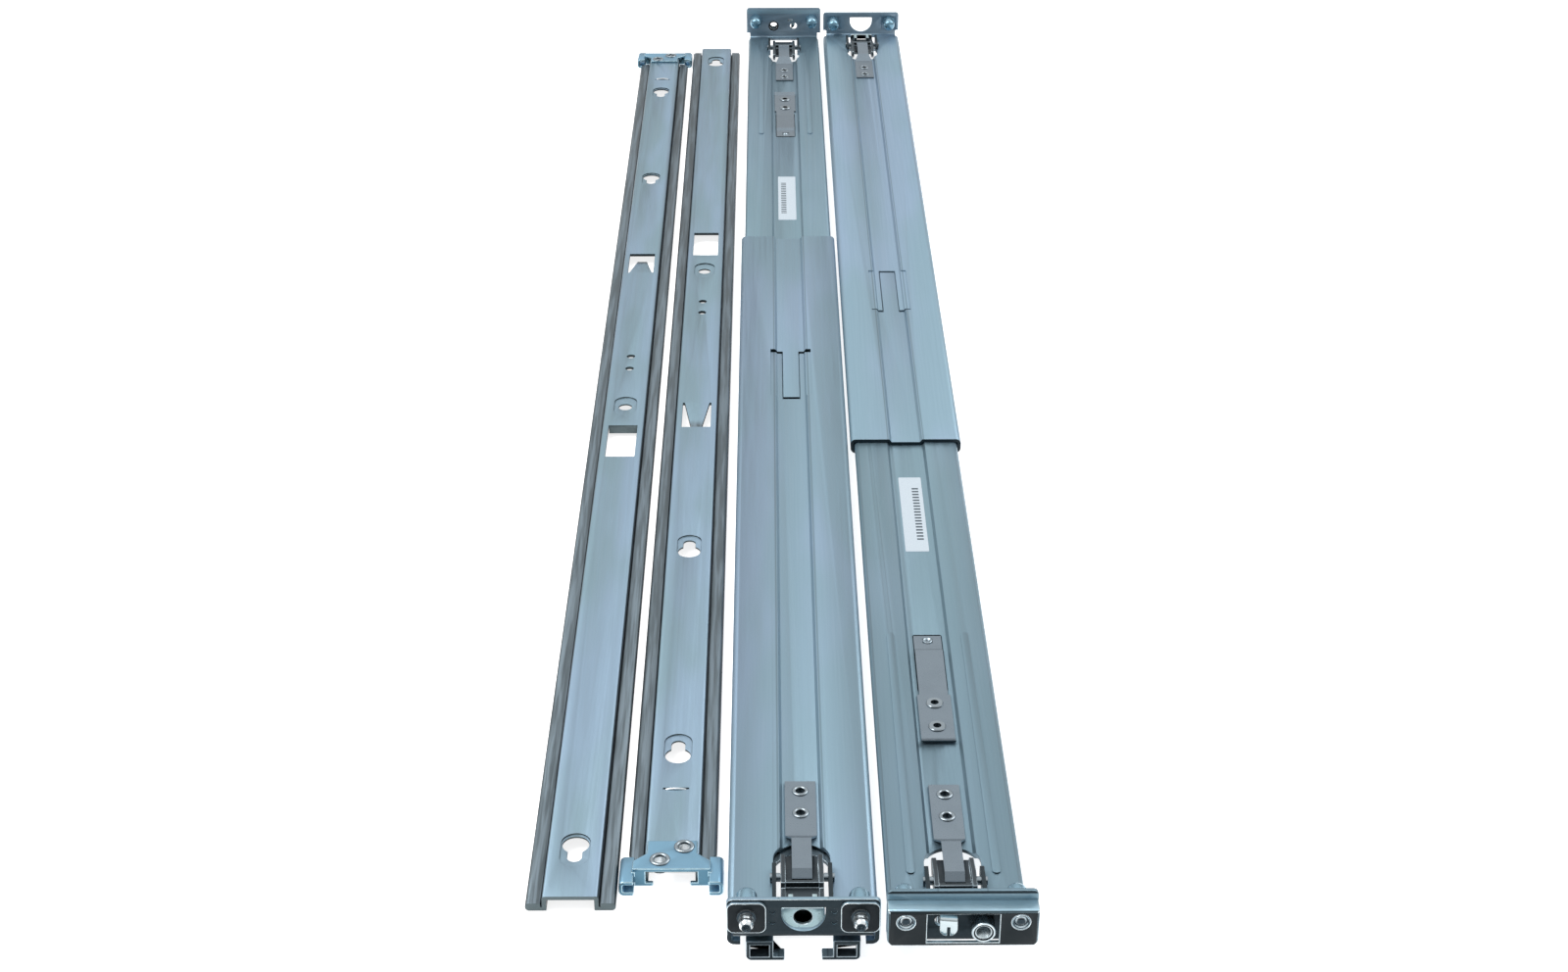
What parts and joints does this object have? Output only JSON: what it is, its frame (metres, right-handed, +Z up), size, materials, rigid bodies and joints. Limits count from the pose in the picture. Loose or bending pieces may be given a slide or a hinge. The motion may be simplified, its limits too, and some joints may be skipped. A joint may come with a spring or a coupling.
{
  "type": "sliding server rail pair",
  "caption": "Pair of telescoping server rack rails with sprung latches and pins at both ends, beside their two keyhole inner members.",
  "frame": {"origin": "middle of the set's footprint, on the plane it lies on", "axes": "+Y along the rails toward the left outer rail's front plate, +X across them toward the right outer rail, +Z up"},
  "size_m": [0.1478, 0.8042, 0.0245],
  "materials": {
    "galvanised_sheet": "bluish galvanised strip, satin",
    "track_sheet": "greased galvanised strip, satin",
    "dark_zinc": "dark blue passivated zinc, semi gloss",
    "bright_nickel": "bright nickel plating",
    "pin_zinc": "blue passivated zinc",
    "latch_steel": "dark phosphated steel, satin",
    "spring_steel": "rolled spring strip, satin",
    "rivet_steel": "rolled rivet steel",
    "light_zinc": "light zinc plating",
    "blue_zinc": "blue passivated zinc sheet",
    "blank_label": "plain pale label stock"
  },
  "bodies": {
    "left_front": {"left_front_channel": "galvanised_sheet", "left_slide_track": "track_sheet", "left_slide_track_rivets": "rivet_steel", "left_front_bezel": "dark_zinc", "left_thumbscrew_socket": "bright_nickel", "left_front_hook": "bright_nickel", "left_front_rack_pins": "pin_zinc", "left_front_latch_pivots": "rivet_steel", "left_front_latch_spring": "spring_steel", "left_front_latch_spring_rivets": "rivet_steel", "left_lock_spring": "spring_steel", "left_lock_spring_rivets": "rivet_steel", "left_label": "blank_label"},
    "left_rear": {"left_rear_channel": "galvanised_sheet", "left_rear_guide": "track_sheet", "left_rear_rack_pins": "pin_zinc", "left_rear_latch_pivots": "rivet_steel", "left_rear_latch_spring": "spring_steel", "left_rear_latch_spring_rivets": "rivet_steel"},
    "left_front_latch": {"left_front_latch": "latch_steel"},
    "left_rear_latch": {"left_rear_latch": "latch_steel", "left_rear_screw_plate": "light_zinc"},
    "left_inner": {"left_inner_member": "galvanised_sheet", "left_end_bracket": "blue_zinc", "left_bracket_rivets": "rivet_steel"},
    "right_front": {"right_front_channel": "galvanised_sheet", "right_slide_track": "track_sheet", "right_slide_track_rivets": "rivet_steel", "right_front_bezel": "dark_zinc", "right_thumbscrew_socket": "bright_nickel", "right_front_hook": "bright_nickel", "right_front_rack_pins": "pin_zinc", "right_front_latch_pivots": "rivet_steel", "right_front_latch_spring": "spring_steel", "right_front_latch_spring_rivets": "rivet_steel", "right_lock_spring": "spring_steel", "right_lock_spring_rivets": "rivet_steel", "right_label": "blank_label"},
    "right_rear": {"right_rear_channel": "galvanised_sheet", "right_rear_guide": "track_sheet", "right_rear_rack_pins": "pin_zinc", "right_rear_latch_pivots": "rivet_steel", "right_rear_latch_spring": "spring_steel", "right_rear_latch_spring_rivets": "rivet_steel"},
    "right_front_latch": {"right_front_latch": "latch_steel"},
    "right_rear_latch": {"right_rear_latch": "latch_steel", "right_rear_screw_plate": "light_zinc"},
    "right_inner": {"right_inner_member": "galvanised_sheet", "right_end_bracket": "blue_zinc", "right_bracket_rivets": "rivet_steel"}
  },
  "joints": [
    {"name": "left_inner_lift", "type": "slide", "parent": "left_front", "child": "left_inner", "axis": [0, 0, 1], "range_m": [0, 0.06]},
    {"name": "left_telescope", "type": "slide", "parent": "left_front", "child": "left_rear", "axis": [0, -1, 0], "range_m": [-0.135, 0.123]},
    {"name": "left_front_latch_hinge", "type": "hinge", "parent": "left_front", "child": "left_front_latch", "pos_m": [0.00838, 0.3715, 0.0089], "axis": [-1, 0, 0], "range_deg": [0, 6], "stiffness_Nm_per_rad": 0.15, "springref_deg": -2.86},
    {"name": "left_rear_latch_hinge", "type": "hinge", "parent": "left_rear", "child": "left_rear_latch", "pos_m": [0.00838, -0.3715, 0.0104], "axis": [1, 0, 0], "range_deg": [0, 6], "stiffness_Nm_per_rad": 0.15, "springref_deg": -2.86},
    {"name": "right_rail_lift", "type": "slide", "parent": "left_front", "child": "right_front", "axis": [0, 0, 1], "range_m": [0, 0.06]},
    {"name": "right_inner_lift", "type": "slide", "parent": "left_front", "child": "right_inner", "axis": [0, 0, 1], "range_m": [0, 0.06]},
    {"name": "right_telescope", "type": "slide", "parent": "right_front", "child": "right_rear", "axis": [0, 1, 0], "range_m": [-0.135, 0.123]},
    {"name": "right_front_latch_hinge", "type": "hinge", "parent": "right_front", "child": "right_front_latch", "pos_m": [0.05248, -0.3715, 0.0089], "axis": [1, 0, 0], "range_deg": [0, 6], "stiffness_Nm_per_rad": 0.15, "springref_deg": -2.86},
    {"name": "right_rear_latch_hinge", "type": "hinge", "parent": "right_rear", "child": "right_rear_latch", "pos_m": [0.05248, 0.3715, 0.0104], "axis": [-1, 0, 0], "range_deg": [0, 6], "stiffness_Nm_per_rad": 0.15, "springref_deg": -2.86}
  ]
}
